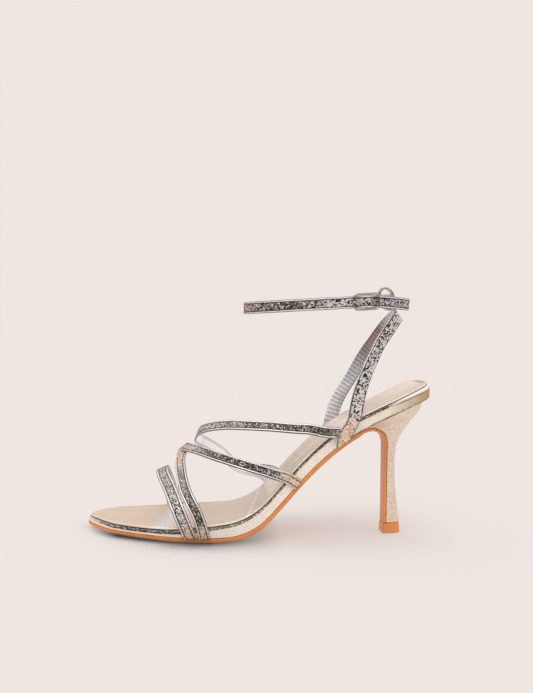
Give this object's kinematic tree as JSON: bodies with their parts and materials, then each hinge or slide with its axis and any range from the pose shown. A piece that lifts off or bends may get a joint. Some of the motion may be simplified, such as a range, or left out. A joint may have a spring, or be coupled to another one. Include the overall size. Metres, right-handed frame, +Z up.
{
  "type": "strappy_heeled_sandal",
  "caption": "Strappy high-heeled sandal with a pointed open toe, thin crossed bands, slim sling and buckled ankle strap on a flared stiletto heel.",
  "frame": {"origin": "on the floor under the ball of the foot, at the middle of the sole's flat contact patch", "axes": "+X from the toe towards the heel, +Y to the inner side of this left shoe (the buckle is on the outer side, -Y), +Z up"},
  "size_m": [0.1963, 0.082, 0.144],
  "materials": {
    "tan_sole": "smooth tan sole leather, satin",
    "pale_gold_foil": "pale gold crackle foil leather",
    "insole_pearl": "smooth pearl leather, soft sheen",
    "silver_foil": "silver crackle foil leather, bright",
    "buckle_nickel": "polished nickel"
  },
  "bodies": {
    "root": {"outsole": "tan_sole", "insole_board": "pale_gold_foil", "sock": "insole_pearl", "heel": "pale_gold_foil", "top_piece": "tan_sole", "toe_strap": "silver_foil", "cross_straps": "silver_foil", "sling_strap": "silver_foil", "ankle_strap": "silver_foil", "buckle_frame": "buckle_nickel", "buckle_prong": "buckle_nickel"}
  },
  "joints": []
}
